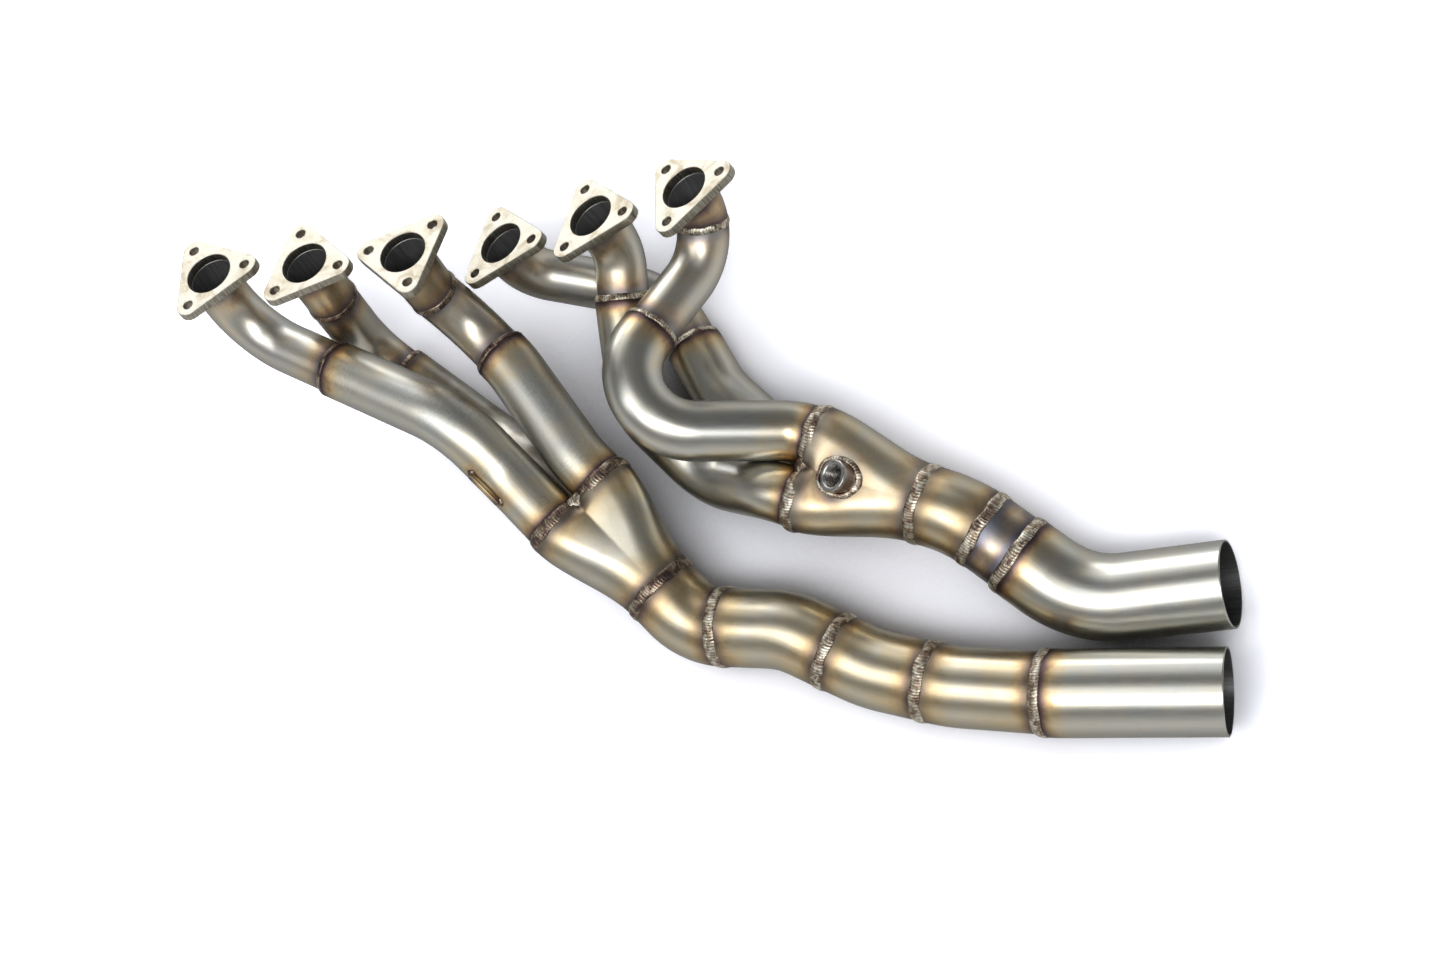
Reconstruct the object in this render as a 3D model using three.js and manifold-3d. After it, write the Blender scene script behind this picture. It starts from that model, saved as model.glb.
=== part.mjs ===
// Two-piece exhaust manifold for an in-line six: a front header for ports 1 to 3 and a rear header
// for ports 4 to 6. Each header is drawn in its own port frame and then laid on the bench, z = 0.
// Port frame: origin at the centre of the middle port on the flange face, x along the port row
// towards the outlet, z out of the face towards the cylinder head, y up when fitted. Millimetres.
import * as THREE from "three";
import { mergeVertices } from "three/addons/utils/BufferGeometryUtils.js";
import Module from "manifold-3d";

const wasm = await Module();
wasm.setup();

// ---------- sizes ----------
const GAP = 0.3; // weld gap left between neighbouring pieces
const PORT_PITCH = 91;
const FLANGE_THICKNESS = 8;
const STUD_CIRCLE_RADIUS = 33;
const STUD_HOLE_RADIUS = 4.25;
const FLANGE_CORNER_RADIUS = 10.5;
const PORT_RADIUS = 19.7;

const UPPER_OD = 42.4; // first step of each runner
const LOWER_OD = 48.3; // second step, sleeved over the first
const PIPE_OD = 63.5;
const OUTLET_OD = 68; // slips over the pipe
const TUBE_WALL = 1.5;
const SLEEVE_OVERLAP = 7;

const LOBE_OFFSET = 29.5; // collector axis to runner axis at the inlet
const LOBE_RADIUS = 26;
const COLLECTOR_WALL = 2.4;
const VALLEY_FILL = [0.45, 0.8]; // share of the valley between two lobes filled in: mouth, body
const VALLEY_RUN = 0.14; // share of the length over which the fill grows

const BUNG_OD = 26;
const BUNG_BORE = 16.4; // tapping size of an M18 x 1.5 thread
const BUNG_LOW = 31; // distances from the collector axis
const BUNG_HIGH = 49;
const BUNG_STATION = 51; // where its axis meets the collector axis, from the inlet
const BUNG_LEAN = 24; // degrees back towards the inlet

const TAB_LENGTH = 32;
const TAB_WIDTH = 5;
const TAB_THICKNESS = 4;
const TAB_GAP = 1.3; // under its middle: the bar is straight and bridges a bend
const TAB_STATION = 335; // along runner 1
const TAB_RADIAL = [-0.28, -0.87, 0.41]; // side of the tube it sits on

const TUBE_SIDES = 16;
const BORE_SIDES = 20;
const HOLE_SIDES = 10;
const CORNER_STEPS = 4;
const BEND_STEP = 20; // degrees of bend per ring of points
const COLLECTOR_SIDES = 36;
const COLLECTOR_STEPS = 6;

// ---------- the two headers ----------
const FRONT = {
  name: "front",
  turn: [-15.6, -2.4, -3.7],
  at: [-300.1, 173.7, 185],
  ports: [1, 2, 3],
  studAngles: [10, -10, 50],
  inlet: [201, -139, -182],
  outlet: [264, -196, -222],
  lobeRoll: { 1: -120, 2: 0, 3: 120 },
};
const REAR = {
  name: "rear",
  turn: [-17.1, -14.3, -2.3],
  at: [-67.1, 201.7, 140.6],
  ports: [4, 5, 6],
  studAngles: [-10, -10, 10],
  inlet: [133, -172, -174],
  outlet: [217, -204, -207],
  lobeRoll: { 5: -120, 4: 0, 6: 120 },
};
// Direction of the third lobe, on the side of the collector away from the oxygen sensor.
const LOBE_REFERENCE = [-0.42, 0.54, -0.73];

// Corner points of each runner after its port centre, with the bend radius at every corner.
// "straight" is the straight length that enters the collector, "cuts" the weld stations.
const RUNNERS = {
  1: {
    corners: [[-91, 0, -16], [-91, -7, -72], [110, -98, -102]],
    bends: [60, 60, 90, 90],
    straight: 60,
    cuts: [154],
  },
  2: {
    corners: [[0, 0, -124], [100, -58, -192]],
    bends: [50, 90, 90],
    straight: 45,
    stub: 52,
    cuts: [154],
  },
  3: {
    corners: [[91, 0, -52], [107, -2, -97], [145, -37, -117]],
    bends: [64, 64, 120, 120],
    straight: 30,
    stub: 56,
    cuts: [134],
  },
  4: {
    corners: [[-91, 0, -42], [-7, 6, -121], [37, -78, -159]],
    bends: [45, 64, 80, 80],
    straight: 25,
    cuts: [203],
  },
  5: {
    corners: [[0, 0, -42], [-11, -31, -74], [-14, -106, -119], [37, -160, -168]],
    bends: [45, 100, 64, 64, 64],
    straight: 25,
    cuts: [82],
  },
  6: {
    corners: [[91, 0, -63], [-6, -189, -35]],
    bends: [48, 48, 48],
    straight: 20,
    stub: 38,
    cuts: [140],
  },
};

// Corner points of each pipe, which first runs "straight" on from the collector axis to its first
// corner, with the bend radii and the weld stations counted from the collector outlet.
const PIPES = {
  front: {
    corners: [
      [372, -230, -238], [441, -259, -256], [506, -274, -263],
      [586, -283, -264], [719, -281, -276],
    ],
    straight: 42,
    bends: [60, 80, 120, 150, 200],
    cuts: [65, 163, 244, 338],
  },
  rear: {
    corners: [[319, -270, -285], [434, -268, -303]],
    straight: 35,
    bends: [120, 85],
    cuts: [51, 84],
  },
};

// ---------- helpers ----------
const vec = (p) => new THREE.Vector3(...p);
const rad = THREE.MathUtils.degToRad;

function circlePoints(radius, sides, cx = 0, cy = 0) {
  const points = [];
  for (let i = 0; i < sides; i++) {
    const a = (2 * Math.PI * i) / sides;
    points.push(new THREE.Vector2(cx + radius * Math.cos(a), cy + radius * Math.sin(a)));
  }
  return points;
}

function ringShape(outerRadius, innerRadius, sides) {
  const shape = new THREE.Shape(circlePoints(outerRadius, sides));
  shape.holes.push(new THREE.Path(circlePoints(innerRadius, sides)));
  return shape;
}

// A bent centre line: straight lengths joined by arcs, walked by distance from its start.
class CentreLine {
  constructor(corners, bends) {
    this.parts = [];
    this.length = 0;
    let from = corners[0];
    for (let i = 1; i < corners.length - 1; i++) {
      const back = corners[i].clone().sub(corners[i - 1]).normalize();
      const ahead = corners[i + 1].clone().sub(corners[i]).normalize();
      const angle = back.angleTo(ahead);
      const cut = bends[i - 1] * Math.tan(angle / 2);
      const start = corners[i].clone().addScaledVector(back, -cut);
      const inward = ahead.clone().addScaledVector(back, -ahead.dot(back)).normalize();
      this.addStraight(from, start);
      this.parts.push({ s: this.length, start, back, inward, angle, radius: bends[i - 1] });
      this.length += bends[i - 1] * angle;
      from = corners[i].clone().addScaledVector(ahead, cut);
    }
    this.addStraight(from, corners[corners.length - 1]);
  }

  addStraight(a, b) {
    const back = b.clone().sub(a).normalize();
    this.parts.push({ s: this.length, start: a, back, radius: 0 });
    this.length += a.distanceTo(b);
  }

  at(s) {
    let part = this.parts[0];
    for (const p of this.parts) {
      if (p.s <= s + 1e-6) part = p;
    }
    const d = s - part.s;
    if (!part.radius) {
      return { point: part.start.clone().addScaledVector(part.back, d), tangent: part.back.clone() };
    }
    const a = d / part.radius;
    const point = part.start
      .clone()
      .addScaledVector(part.back, part.radius * Math.sin(a))
      .addScaledVector(part.inward, part.radius * (1 - Math.cos(a)));
    const tangent = part.back
      .clone()
      .multiplyScalar(Math.cos(a))
      .addScaledVector(part.inward, Math.sin(a));
    return { point, tangent };
  }

  // The points and tangents a tube needs between two distances: its ends and the bends between.
  rings(s0, s1) {
    const marks = [s0, s1];
    for (const part of this.parts) {
      const steps = part.radius ? Math.ceil(part.angle / rad(BEND_STEP)) : 1;
      for (let i = 0; i <= steps; i++) {
        marks.push(part.s + (part.radius ? (part.radius * part.angle * i) / steps : 0));
      }
    }
    const inside = marks.filter((s) => s >= s0 && s <= s1).sort((a, b) => a - b);
    const apart = inside.filter((s, i) => i === 0 || s - inside[i - 1] > 1.2);
    apart[apart.length - 1] = s1;
    return apart.map((s) => this.at(s));
  }
}

// A curve that hands ExtrudeGeometry exactly the rings it is given.
class RingCurve extends THREE.Curve {
  constructor(rings) {
    super();
    this.rings = rings;
  }

  ring(u) {
    return this.rings[Math.round(u * (this.rings.length - 1))];
  }

  getPointAt(u) {
    return this.ring(u).point.clone();
  }

  getTangentAt(u) {
    return this.ring(u).tangent.clone();
  }

  getSpacedPoints() {
    return this.rings.map((r) => r.point.clone());
  }
}

function addMesh(group, name, geometry, color) {
  const material = new THREE.MeshStandardMaterial({ color, metalness: 1, roughness: 0.35 });
  const mesh = new THREE.Mesh(geometry, material);
  mesh.name = name;
  group.add(mesh);
  return mesh;
}

const TUBE_COLOR = 0xb5ad98;
const FLANGE_COLOR = 0xd8d4c8;
const BUNG_COLOR = 0x9a9488;

function addTube(group, name, line, s0, s1, outerDiameter) {
  const rings = line.rings(s0, s1);
  const shape = ringShape(outerDiameter / 2, outerDiameter / 2 - TUBE_WALL, TUBE_SIDES);
  const geometry = new THREE.ExtrudeGeometry(shape, {
    extrudePath: new RingCurve(rings),
    steps: rings.length - 1,
    bevelEnabled: false,
  });
  addMesh(group, name, geometry, TUBE_COLOR);
}

function solidOf(geometry) {
  const bare = new THREE.BufferGeometry();
  bare.setAttribute("position", geometry.getAttribute("position"));
  bare.setIndex(geometry.index);
  const merged = mergeVertices(bare, 1e-4);
  const mesh = new wasm.Mesh({
    numProp: 3,
    vertProperties: new Float32Array(merged.attributes.position.array),
    triVerts: new Uint32Array(merged.index.array),
  });
  return new wasm.Manifold(mesh);
}

function geometryOf(solid) {
  const mesh = solid.getMesh();
  const geometry = new THREE.BufferGeometry();
  geometry.setAttribute("position", new THREE.BufferAttribute(mesh.vertProperties, 3));
  geometry.setIndex(new THREE.BufferAttribute(mesh.triVerts, 1));
  geometry.computeVertexNormals();
  return geometry;
}

// ---------- pieces ----------
// Rounded triangle with the port bore and three stud holes, its face on z = 0.
function flangeGeometry(studAngle) {
  const outline = [];
  const holes = [circlePoints(PORT_RADIUS, BORE_SIDES)];
  for (let corner = 0; corner < 3; corner++) {
    const a = rad(studAngle + 120 * corner);
    const cx = STUD_CIRCLE_RADIUS * Math.cos(a);
    const cy = STUD_CIRCLE_RADIUS * Math.sin(a);
    for (let i = 0; i <= CORNER_STEPS; i++) {
      const t = a + rad(-60 + (120 * i) / CORNER_STEPS);
      const x = cx + FLANGE_CORNER_RADIUS * Math.cos(t);
      const y = cy + FLANGE_CORNER_RADIUS * Math.sin(t);
      outline.push(new THREE.Vector2(x, y));
    }
    holes.push(circlePoints(STUD_HOLE_RADIUS, HOLE_SIDES, cx, cy));
  }
  const shape = new THREE.Shape(outline);
  holes.forEach((points) => shape.holes.push(new THREE.Path(points)));
  const geometry = new THREE.ExtrudeGeometry(shape, { depth: FLANGE_THICKNESS, bevelEnabled: false });
  return geometry.translate(0, 0, -FLANGE_THICKNESS);
}

// Distance from the collector axis to its skin at a share t of its length: three lobes with part
// of the valleys between them filled in, which swell into one round pipe.
function collectorRadius(angle, t, wall) {
  const blend = THREE.MathUtils.smoothstep(t, 0, 1);
  const offset = LOBE_OFFSET * (1 - blend);
  const radius = THREE.MathUtils.lerp(LOBE_RADIUS, PIPE_OD / 2, blend) - wall;
  const third = (2 * Math.PI) / 3;
  const off = Math.abs(angle - third * Math.round(angle / third));
  const side = offset * Math.sin(off);
  const lobed = offset * Math.cos(off) + Math.sqrt(Math.max(radius * radius - side * side, 0));
  const touch = Math.atan2(radius * Math.sin(third / 2), offset + radius * Math.cos(third / 2));
  if (off < touch) return lobed;
  const bridged = (offset / 2 + radius) / Math.cos(third / 2 - off);
  const grown = THREE.MathUtils.smoothstep(t, 0, VALLEY_RUN);
  return THREE.MathUtils.lerp(lobed, bridged, THREE.MathUtils.lerp(...VALLEY_FILL, grown));
}

// One closed skin: out along the outside of the collector and back along its inside.
function collectorGeometry(length) {
  const points = [];
  const index = [];
  const rows = 2 * (COLLECTOR_STEPS + 1);
  for (let row = 0; row < rows; row++) {
    const inside = row > COLLECTOR_STEPS;
    const step = inside ? rows - 1 - row : row;
    const t = step / COLLECTOR_STEPS;
    for (let i = 0; i < COLLECTOR_SIDES; i++) {
      const a = (2 * Math.PI * i) / COLLECTOR_SIDES;
      const r = collectorRadius(a, t, inside ? COLLECTOR_WALL : 0);
      points.push(r * Math.cos(a), r * Math.sin(a), t * length);
    }
  }
  for (let row = 0; row < rows; row++) {
    const next = (row + 1) % rows;
    for (let i = 0; i < COLLECTOR_SIDES; i++) {
      const j = (i + 1) % COLLECTOR_SIDES;
      const a = row * COLLECTOR_SIDES + i;
      const b = row * COLLECTOR_SIDES + j;
      const c = next * COLLECTOR_SIDES + i;
      const d = next * COLLECTOR_SIDES + j;
      index.push(a, b, d, a, d, c);
    }
  }
  const geometry = new THREE.BufferGeometry();
  geometry.setAttribute("position", new THREE.Float32BufferAttribute(points, 3));
  geometry.setIndex(index);
  geometry.computeVertexNormals();
  return geometry;
}

// A turned tube along y from one height to another, standing on the collector skin.
function bungGeometry(outerRadius, boreRadius) {
  const profile = [
    new THREE.Vector2(boreRadius, BUNG_LOW),
    new THREE.Vector2(outerRadius, BUNG_LOW),
    new THREE.Vector2(outerRadius, BUNG_HIGH),
    new THREE.Vector2(boreRadius, BUNG_HIGH),
    new THREE.Vector2(boreRadius, BUNG_LOW),
  ];
  return new THREE.LatheGeometry(profile, BORE_SIDES);
}

// ---------- assembly ----------
// The collector frame: z along its axis, x towards the third lobe.
function collectorFrame(header) {
  const inlet = vec(header.inlet);
  const axis = vec(header.outlet).sub(inlet);
  const length = axis.length();
  axis.normalize();
  const reference = vec(LOBE_REFERENCE);
  const x = reference.addScaledVector(axis, -reference.dot(axis)).normalize();
  const y = axis.clone().cross(x);
  const matrix = new THREE.Matrix4().makeBasis(x, y, axis).setPosition(inlet);
  return { axis, length, matrix };
}

function addRunner(group, header, number, frame) {
  const runner = RUNNERS[number];
  const prefix = header.name + "_runner_" + number;
  const roll = rad(header.lobeRoll[number]);
  const lobe = new THREE.Vector3(LOBE_OFFSET * Math.cos(roll), LOBE_OFFSET * Math.sin(roll), 0);
  const end = lobe.applyMatrix4(frame.matrix);
  const port = new THREE.Vector3(PORT_PITCH * (header.ports.indexOf(number) - 1), 0, 0);
  const entry = end.clone().addScaledVector(frame.axis, -runner.straight);
  const line = new CentreLine([port, ...runner.corners.map(vec), entry, end], runner.bends);
  const sleeve = runner.cuts[0];
  let start = FLANGE_THICKNESS + GAP;
  if (runner.stub) {
    addTube(group, prefix + "_stub", line, start, runner.stub, UPPER_OD);
    start = runner.stub + GAP;
  }
  addTube(group, prefix + "_upper_tube", line, start, sleeve + SLEEVE_OVERLAP, UPPER_OD);
  addTube(group, prefix + "_lower_tube", line, sleeve, line.length - GAP, LOWER_OD);
  return line;
}

function addPipe(group, header, frame) {
  const pipe = PIPES[header.name];
  const start = vec(header.outlet);
  const first = start.clone().addScaledVector(frame.axis, pipe.straight);
  const line = new CentreLine([start, first, ...pipe.corners.map(vec)], pipe.bends);
  let from = 0;
  pipe.cuts.forEach((cut, i) => {
    const sleeved = i === pipe.cuts.length - 1;
    const to = sleeved ? cut + SLEEVE_OVERLAP : cut;
    addTube(group, header.name + "_pipe_segment_" + (i + 1), line, from + GAP, to, PIPE_OD);
    from = cut;
  });
  addTube(group, header.name + "_outlet_pipe", line, from, line.length, OUTLET_OD);
}

function addHeader(root, header) {
  const group = new THREE.Group();
  group.name = header.name + "_header";
  group.rotation.set(...header.turn.map(rad));
  group.position.set(...header.at);
  root.add(group);
  const frame = collectorFrame(header);
  const lines = {};
  header.ports.forEach((number, i) => {
    const flange = flangeGeometry(header.studAngles[i]).translate(PORT_PITCH * (i - 1), 0, 0);
    addMesh(group, header.name + "_flange_" + number, flange, FLANGE_COLOR);
    lines[number] = addRunner(group, header, number, frame);
  });
  addPipe(group, header, frame);
  return { group, frame, lines };
}

// A short bar welded along the side of runner 1.
function addTab(front) {
  const { point, tangent } = front.lines[1].at(TAB_STATION);
  const radial = vec(TAB_RADIAL);
  radial.addScaledVector(tangent, -radial.dot(tangent)).normalize();
  const across = radial.clone().cross(tangent);
  const lift = LOWER_OD / 2 + TAB_THICKNESS / 2 + TAB_GAP;
  const bar = new THREE.BoxGeometry(TAB_LENGTH, TAB_WIDTH, TAB_THICKNESS);
  const matrix = new THREE.Matrix4().makeBasis(tangent, across, radial);
  matrix.setPosition(point.addScaledVector(radial, lift));
  addMesh(front.group, "front_runner_1_tab", bar.applyMatrix4(matrix), TUBE_COLOR);
}

function addCollectors(front, rear) {
  const plain = collectorGeometry(front.frame.length).applyMatrix4(front.frame.matrix);
  addMesh(front.group, "front_collector", plain, TUBE_COLOR);

  // The oxygen sensor boss stands in the filled valley between lobes 5 and 6.
  const stand = new THREE.Matrix4()
    .makeRotationZ(Math.PI / 2)
    .premultiply(new THREE.Matrix4().makeRotationY(rad(-BUNG_LEAN)))
    .premultiply(new THREE.Matrix4().makeTranslation(0, 0, BUNG_STATION));
  const place = (geometry) => geometry.applyMatrix4(stand).applyMatrix4(rear.frame.matrix);
  const bung = place(bungGeometry(BUNG_OD / 2, BUNG_BORE / 2));
  const cutter = place(new THREE.CylinderGeometry(
    BUNG_OD / 2 + GAP, BUNG_OD / 2 + GAP, BUNG_HIGH, BORE_SIDES,
  ).translate(0, BUNG_HIGH / 2, 0));
  const shell = collectorGeometry(rear.frame.length).applyMatrix4(rear.frame.matrix);
  const drilled = solidOf(shell).subtract(solidOf(cutter));
  addMesh(rear.group, "rear_collector", geometryOf(drilled), TUBE_COLOR);
  addMesh(rear.group, "rear_oxygen_sensor_bung", bung, BUNG_COLOR);
}

const root = new THREE.Group();
root.name = "exhaust_manifold";
const front = addHeader(root, FRONT);
const rear = addHeader(root, REAR);
addCollectors(front, rear);
addTab(front);

export default root;
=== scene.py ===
"""Looks of the two-piece exhaust manifold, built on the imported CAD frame.

Every shown piece is a fine version of one CAD node, swept along the same centre lines, plus the weld
beads between the pieces. Lengths are in millimetres in each header's own port frame until place().
"""

import math

import bpy
import numpy as np
from mathutils import Euler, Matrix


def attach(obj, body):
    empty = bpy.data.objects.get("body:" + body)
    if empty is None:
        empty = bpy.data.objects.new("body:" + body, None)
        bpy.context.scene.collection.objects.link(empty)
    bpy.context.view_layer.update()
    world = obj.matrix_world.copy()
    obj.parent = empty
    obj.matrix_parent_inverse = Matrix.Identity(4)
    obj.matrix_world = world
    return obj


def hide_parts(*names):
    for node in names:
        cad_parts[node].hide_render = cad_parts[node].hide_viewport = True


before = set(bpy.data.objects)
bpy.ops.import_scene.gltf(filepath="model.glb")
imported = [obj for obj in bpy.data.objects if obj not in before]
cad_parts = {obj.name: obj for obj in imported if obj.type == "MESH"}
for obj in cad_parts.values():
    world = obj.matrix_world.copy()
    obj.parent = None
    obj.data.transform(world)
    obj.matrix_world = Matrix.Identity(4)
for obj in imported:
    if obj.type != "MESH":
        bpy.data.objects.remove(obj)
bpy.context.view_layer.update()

# ---------- sizes, the same as the CAD's ----------
PORT_PITCH = 91
FLANGE_THICKNESS = 8
STUD_CIRCLE_RADIUS = 33
STUD_HOLE_RADIUS = 4.25
FLANGE_CORNER_RADIUS = 10.5
PORT_RADIUS = 19.7
UPPER_RADIUS = 21.2
LOWER_RADIUS = 24.15
PIPE_RADIUS = 31.75
OUTLET_RADIUS = 34
TUBE_WALL = 1.5
SLEEVE_OVERLAP = 7
LOBE_OFFSET = 29.5
LOBE_RADIUS = 26
COLLECTOR_WALL = 2.4
VALLEY_FILL = (0.45, 0.8)
VALLEY_RUN = 0.14
BUNG_RADIUS = 13
BUNG_BORE_RADIUS = 8.2
BUNG_LOW = 31
BUNG_HIGH = 49
BUNG_STATION = 51
BUNG_LEAN = 24
TAB_SIZE = (32, 5, 4)
TAB_GAP = 1.3
TAB_STATION = 335
TAB_RADIAL = (-0.28, -0.87, 0.41)
LOBE_REFERENCE = (-0.42, 0.54, -0.73)

HEADERS = {
    "front": {
        "turn": (-15.6, -2.4, -3.7), "at": (-300.1, 173.7, 185),
        "ports": (1, 2, 3), "studs": (10, -10, 50),
        "inlet": (201, -139, -182), "outlet": (264, -196, -222),
        "roll": {1: -120, 2: 0, 3: 120},
    },
    "rear": {
        "turn": (-17.1, -14.3, -2.3), "at": (-67.1, 201.7, 140.6),
        "ports": (4, 5, 6), "studs": (-10, -10, 10),
        "inlet": (133, -172, -174), "outlet": (217, -204, -207),
        "roll": {5: -120, 4: 0, 6: 120},
    },
}
RUNNERS = {
    1: {"corners": [(-91, 0, -16), (-91, -7, -72), (110, -98, -102)],
        "bends": (60, 60, 90, 90), "straight": 60, "cut": 154},
    2: {"corners": [(0, 0, -124), (100, -58, -192)],
        "bends": (50, 90, 90), "straight": 45, "stub": 52, "cut": 154},
    3: {"corners": [(91, 0, -52), (107, -2, -97), (145, -37, -117)],
        "bends": (64, 64, 120, 120), "straight": 30, "stub": 56, "cut": 134},
    4: {"corners": [(-91, 0, -42), (-7, 6, -121), (37, -78, -159)],
        "bends": (45, 64, 80, 80), "straight": 25, "cut": 203},
    5: {"corners": [(0, 0, -42), (-11, -31, -74), (-14, -106, -119), (37, -160, -168)],
        "bends": (45, 100, 64, 64, 64), "straight": 25, "cut": 82},
    6: {"corners": [(91, 0, -63), (-6, -189, -35)],
        "bends": (48, 48, 48), "straight": 20, "stub": 38, "cut": 140},
}
PIPES = {
    "front": {"corners": [(372, -230, -238), (441, -259, -256), (506, -274, -263),
                          (586, -283, -264), (719, -281, -276)],
              "straight": 42, "bends": (60, 80, 120, 150, 200), "cuts": (65, 163, 244, 338)},
    "rear": {"corners": [(319, -270, -285), (434, -268, -303)],
             "straight": 35, "bends": (120, 85), "cuts": (51, 84)},
}

# ---------- sizes of the visual model only ----------
SIDES = 64
RING_STEP = 2.5  # between rings of a tube
LIP = 0.45  # rounding of a cut tube end
SLEEVE_DROP = 1.1  # how far a sleeve's start is drawn in
SLEEVE_RUN = 3.5  # over this length
WELD_GAP = 0.3  # between the ends of two pieces, filled by the bead
SUNK = 0.1  # a bead's toes start this far below the skin
FAR = 60.0  # weld distances are capped here
CROTCH_RADIUS = 29.0  # the lump of weld between two runners, from the collector axis
CROTCH_SIZE = (6.2, 10.5, 4.6)  # half length along the axis, half width, height
RIPPLE_PITCH = 2.5
# Beads: where they start and end along the axis, how far they bulge, and how far to either side
# the skin has the colour of the weld itself.
FLANGE_BEAD = (0.0, 4.3, 0.6, 4.0)
FLANGE_BEAD_REACH = 4.0  # out over the back of the plate
STUB_BEAD = (-3.4, 3.4, 1.0, 3.2)
STEP_BEAD = (-3.4, 2.6, 1.0, 4.0)
MOUTH_BEAD = (-6.8, 5.2, 1.7, 6.0)
PIPE_BEAD = (-5.4, 5.4, 1.3, 5.5)
OUTLET_BEAD = (-5.4, 4.6, 1.3, 5.5)
TAB_BEAD_SIZE = (5.2, 4.6, 3.6)  # half length, half width, height
BUNG_BEAD = (2.6, 3.9, 1.0)  # how far it climbs the boss, how far it spreads, how far it bulges
BUNG_BEAD_RIPPLES = 44
POINTS_PER_RIPPLE = 5
DRILL_LOW = 8.0  # the drill starts here, above the collector's axis
rng = np.random.default_rng(7)


# ---------- small maths ----------
def arr(p):
    return np.array(p, float)


def unit(v):
    return v / np.linalg.norm(v)


def smooth(t):
    t = np.clip(t, 0, 1)
    return t * t * (3 - 2 * t)


def turned(axis, degrees):
    c, s = math.cos(math.radians(degrees)), math.sin(math.radians(degrees))
    i, j = [(1, 2), (2, 0), (0, 1)]["xyz".index(axis)]
    m = np.eye(3)
    m[i, i] = m[j, j] = c
    m[i, j], m[j, i] = -s, s
    return m


def wave(theta, count=5, lowest=1):
    """A smooth random wave round a circle, about -1 to 1."""
    total = np.zeros_like(theta)
    for k in range(lowest, lowest + count):
        total += rng.uniform(0.4, 1) * np.sin(k * theta + rng.uniform(0, 2 * math.pi))
    return total / math.sqrt(count)


class Path:
    """A bent centre line: straight lengths joined by arcs, walked by distance from its start."""

    def __init__(self, corners, bends):
        self.parts = []
        self.length = 0.0
        here = corners[0]
        for corner, before, after, radius in zip(corners[1:], corners, corners[2:], bends):
            back, ahead = unit(corner - before), unit(after - corner)
            angle = math.acos(float(np.clip(back @ ahead, -1, 1)))
            cut = radius * math.tan(angle / 2)
            begin = corner - back * cut
            self.straight(here, begin)
            self.parts.append((self.length, begin, back, unit(ahead - back * (back @ ahead)), radius))
            self.length += radius * angle
            here = corner + ahead * cut
        self.straight(here, corners[-1])

    def straight(self, a, b):
        self.parts.append((self.length, a, unit(b - a), None, 0))
        self.length += float(np.linalg.norm(b - a))

    def at(self, s):
        part = self.parts[0]
        for p in self.parts:
            if p[0] <= s + 1e-6:
                part = p
        start, point, back, inward, radius = part
        d = s - start
        if not radius:
            return point + back * d, back
        a = d / radius
        where = point + back * (radius * math.sin(a)) + inward * (radius * (1 - math.cos(a)))
        return where, back * math.cos(a) + inward * math.sin(a)

    def frames(self, stations):
        """Points, tangents and a pair of normals carried along without twist."""
        points, tangents, first = [], [], []
        normal = None
        for s in stations:
            point, tangent = self.at(s)
            if normal is None:
                normal = np.cross(tangent, (0.3, 0.2, 1.0))
            normal = unit(normal - tangent * (tangent @ normal))
            points.append(point)
            tangents.append(tangent)
            first.append(normal)
        points, tangents, first = arr(points), arr(tangents), arr(first)
        return points, tangents, first, np.cross(tangents, first)


# ---------- mesh helpers ----------
def ring_quads(rows, cols, close_rows):
    """Quads of a grid of rings, each ring closed on itself."""
    r = np.arange(rows if close_rows else rows - 1)
    c = np.arange(cols)
    a = r[:, None] * cols + c
    b = r[:, None] * cols + (c + 1) % cols
    nxt = (r + 1) % rows
    d = nxt[:, None] * cols + c
    e = nxt[:, None] * cols + (c + 1) % cols
    return np.stack([a, b, e, d], -1).reshape(-1, 4)


def place(header, points):
    """Port frame in millimetres to the row frame in metres."""
    h = HEADERS[header]
    m = turned("x", h["turn"][0]) @ turned("y", h["turn"][1]) @ turned("z", h["turn"][2])
    return (points @ m.T + arr(h["at"])) / 1000


def add_attributes(mesh, attributes):
    for key, values in attributes.items():
        values = np.asarray(values, np.float32)
        kind, field = ("FLOAT_VECTOR", "vector") if values.ndim == 2 else ("FLOAT", "value")
        mesh.attributes.new(key, kind, "POINT").data.foreach_set(field, values.ravel())


def make_mesh(name, header, points, quads, attributes, materials, slots=None):
    """A smooth-shaded closed mesh that rides on its header's body."""
    mesh = bpy.data.meshes.new(name)
    world = place(header, points).astype(np.float32)
    mesh.vertices.add(len(world))
    mesh.vertices.foreach_set("co", world.ravel())
    mesh.loops.add(quads.size)
    mesh.loops.foreach_set("vertex_index", quads.astype(np.int32).ravel())
    mesh.polygons.add(len(quads))
    mesh.polygons.foreach_set("loop_start", np.arange(0, quads.size, 4, dtype=np.int32))
    mesh.polygons.foreach_set("use_smooth", np.ones(len(quads), bool))
    if slots is not None:
        mesh.polygons.foreach_set("material_index", slots.astype(np.int32))
    add_attributes(mesh, attributes)
    for material in materials:
        mesh.materials.append(material)
    mesh.update()
    mesh.validate()
    obj = bpy.data.objects.new(name, mesh)
    bpy.context.scene.collection.objects.link(obj)
    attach(obj, header + "_header")
    return obj


def stand_for(node):
    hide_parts(node)


def outward(points, quads, centre_line):
    """Quads turned round if they face the centre line instead of away from it."""
    a, b, c = points[quads[:, 0]], points[quads[:, 1]], points[quads[:, 3]]
    facing = np.einsum("ij,ij->i", np.cross(b - a, c - a), a - centre_line)
    return quads if facing.sum() > 0 else quads[:, ::-1]


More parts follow.
